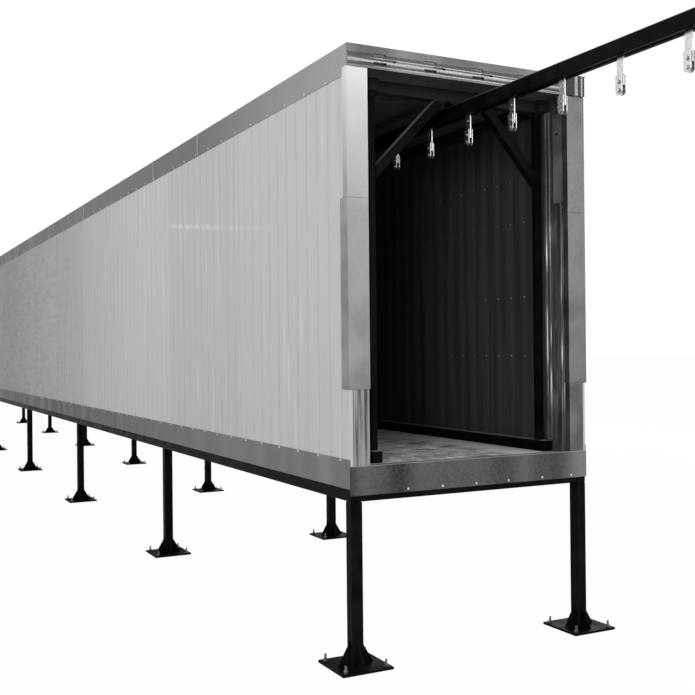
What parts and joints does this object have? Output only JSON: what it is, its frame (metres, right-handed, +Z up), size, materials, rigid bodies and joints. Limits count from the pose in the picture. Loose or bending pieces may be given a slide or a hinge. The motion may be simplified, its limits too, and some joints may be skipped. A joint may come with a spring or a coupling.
{
  "type": "powder coating oven",
  "caption": "Raised tunnel oven of insulated panels on a legged steel base, open at both ends, with an overhead conveyor track and hangers.",
  "frame": {"origin": "middle of the oven's footprint, on the floor", "axes": "+Z up, +Y along the tunnel from its front to its rear, +X to the right"},
  "size_m": [1.351, 18.05, 2.456],
  "materials": {
    "panel_skin": "prepainted sheet, slight gloss",
    "floor_galvanised": "stained galvanised sheet",
    "black_steel": "satin black paint",
    "galvanised_sheet": "satin galvanised sheet",
    "chain_steel": "oiled steel",
    "zinc_plated_steel": "bright zinc plate"
  },
  "bodies": {
    "root": {"left_wall": "panel_skin", "right_wall": "panel_skin", "roof": "panel_skin", "floor_panels": "panel_skin", "floor_sheet": "floor_galvanised", "base_side_beam_left": "black_steel", "base_side_beam_right": "black_steel", "base_end_beam_front": "black_steel", "base_end_beam_rear": "black_steel", "base_cross_beams": "black_steel", "legs_left": "black_steel", "legs_right": "black_steel", "foot_plates": "black_steel", "leg_gussets": "black_steel", "bottom_rail_left": "black_steel", "bottom_rail_right": "black_steel", "top_rail_left": "black_steel", "top_rail_right": "black_steel", "posts_left": "black_steel", "posts_right": "black_steel", "cross_beams": "black_steel", "knee_braces_left": "black_steel", "knee_braces_right": "black_steel", "conveyor_track": "black_steel", "track_brackets": "black_steel", "base_flashing_left": "galvanised_sheet", "base_flashing_right": "galvanised_sheet", "top_flashing_left": "galvanised_sheet", "top_flashing_right": "galvanised_sheet", "threshold_front": "galvanised_sheet", "threshold_rear": "galvanised_sheet", "fascia_front": "galvanised_sheet", "fascia_rear": "galvanised_sheet", "wall_end_caps": "galvanised_sheet", "lower_end_covers": "galvanised_sheet", "upper_end_covers": "galvanised_sheet", "conveyor_chain": "chain_steel", "trolley_wheels": "chain_steel", "hanger_bolts": "chain_steel", "clevis_pins": "chain_steel", "hanger_straps": "zinc_plated_steel", "hanger_clevises": "zinc_plated_steel"}
  },
  "joints": []
}
